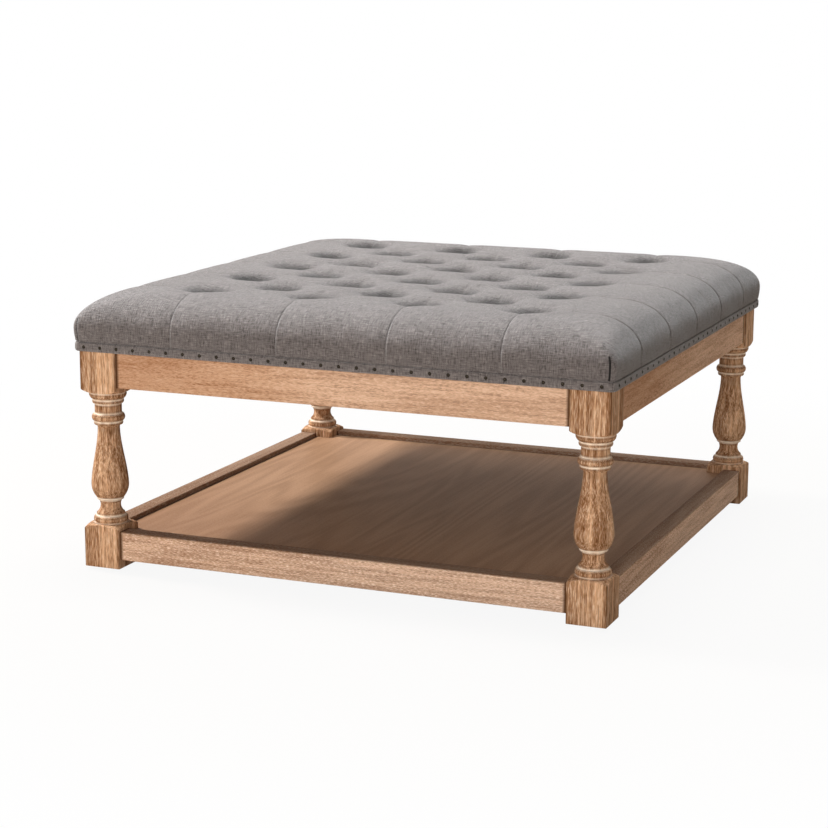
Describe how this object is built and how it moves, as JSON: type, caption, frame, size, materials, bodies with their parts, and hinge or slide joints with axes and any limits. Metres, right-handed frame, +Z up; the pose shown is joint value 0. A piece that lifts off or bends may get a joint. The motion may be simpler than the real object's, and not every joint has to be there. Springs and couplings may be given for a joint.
{
  "type": "ottoman coffee table",
  "caption": "Square ottoman coffee table: a deep-tufted cushion with a nail-trimmed fabric band, on turned legs joined by aprons, with a framed lower shelf.",
  "frame": {"origin": "on the floor, under the middle of the table", "axes": "+Z up, +X to the right, front towards -Y"},
  "size_m": [0.914, 0.914, 0.457],
  "materials": {
    "leg_wood": "limed light-brown finish, satin",
    "rail_wood": "limed light-brown finish, satin",
    "shelf_wood": "light-brown finish, satin",
    "brace_wood": "bare sawn softwood",
    "dowel_wood": "bare",
    "deck_ply": "bare plywood",
    "cover_fabric": "plain woven linen-like cloth, matte",
    "band_fabric": "the same cloth as the cushion, matte",
    "dust_fabric": "thin non-woven cloth, matte",
    "foam": "open-cell foam",
    "twine": "waxed twine",
    "anchor_plastic": "moulded",
    "nail_metal": "antique, darkened",
    "fixing_steel": "zinc-plated",
    "glide_plastic": "moulded, rounded"
  },
  "bodies": {
    "root": {"apron_back": "rail_wood", "apron_dowels": "dowel_wood", "apron_front": "rail_wood", "apron_left": "rail_wood", "apron_right": "rail_wood", "band_nails_back": "nail_metal", "band_nails_front": "nail_metal", "band_nails_left": "nail_metal", "band_nails_right": "nail_metal", "bolt_nuts": "fixing_steel", "bolt_washers": "fixing_steel", "brace_screws": "fixing_steel", "cleat_screws": "fixing_steel", "cushion_cover": "cover_fabric", "deck_bearer": "brace_wood", "deck_board": "deck_ply", "deck_screws": "fixing_steel", "dust_cover": "dust_fabric", "fabric_band": "band_fabric", "foam_pad": "foam", "glide_back_left": "glide_plastic", "glide_back_right": "glide_plastic", "glide_front_left": "glide_plastic", "glide_front_right": "glide_plastic", "glide_nails": "fixing_steel", "leg_back_left": "leg_wood", "leg_back_right": "leg_wood", "leg_bolts": "fixing_steel", "leg_front_left": "leg_wood", "leg_front_right": "leg_wood", "lower_brace_back_left": "brace_wood", "lower_brace_back_right": "brace_wood", "lower_brace_front_left": "brace_wood", "lower_brace_front_right": "brace_wood", "panel_screws": "fixing_steel", "shelf_bearer": "brace_wood", "shelf_cleat_back": "brace_wood", "shelf_cleat_front": "brace_wood", "shelf_cleat_left": "brace_wood", "shelf_cleat_right": "brace_wood", "shelf_dowels": "dowel_wood", "shelf_panel": "shelf_wood", "shelf_rail_back": "rail_wood", "shelf_rail_front": "rail_wood", "shelf_rail_left": "rail_wood", "shelf_rail_right": "rail_wood", "tuft_anchors": "anchor_plastic", "tuft_twines": "twine", "upper_brace_back_left": "brace_wood", "upper_brace_back_right": "brace_wood", "upper_brace_front_left": "brace_wood", "upper_brace_front_right": "brace_wood"}
  },
  "joints": []
}
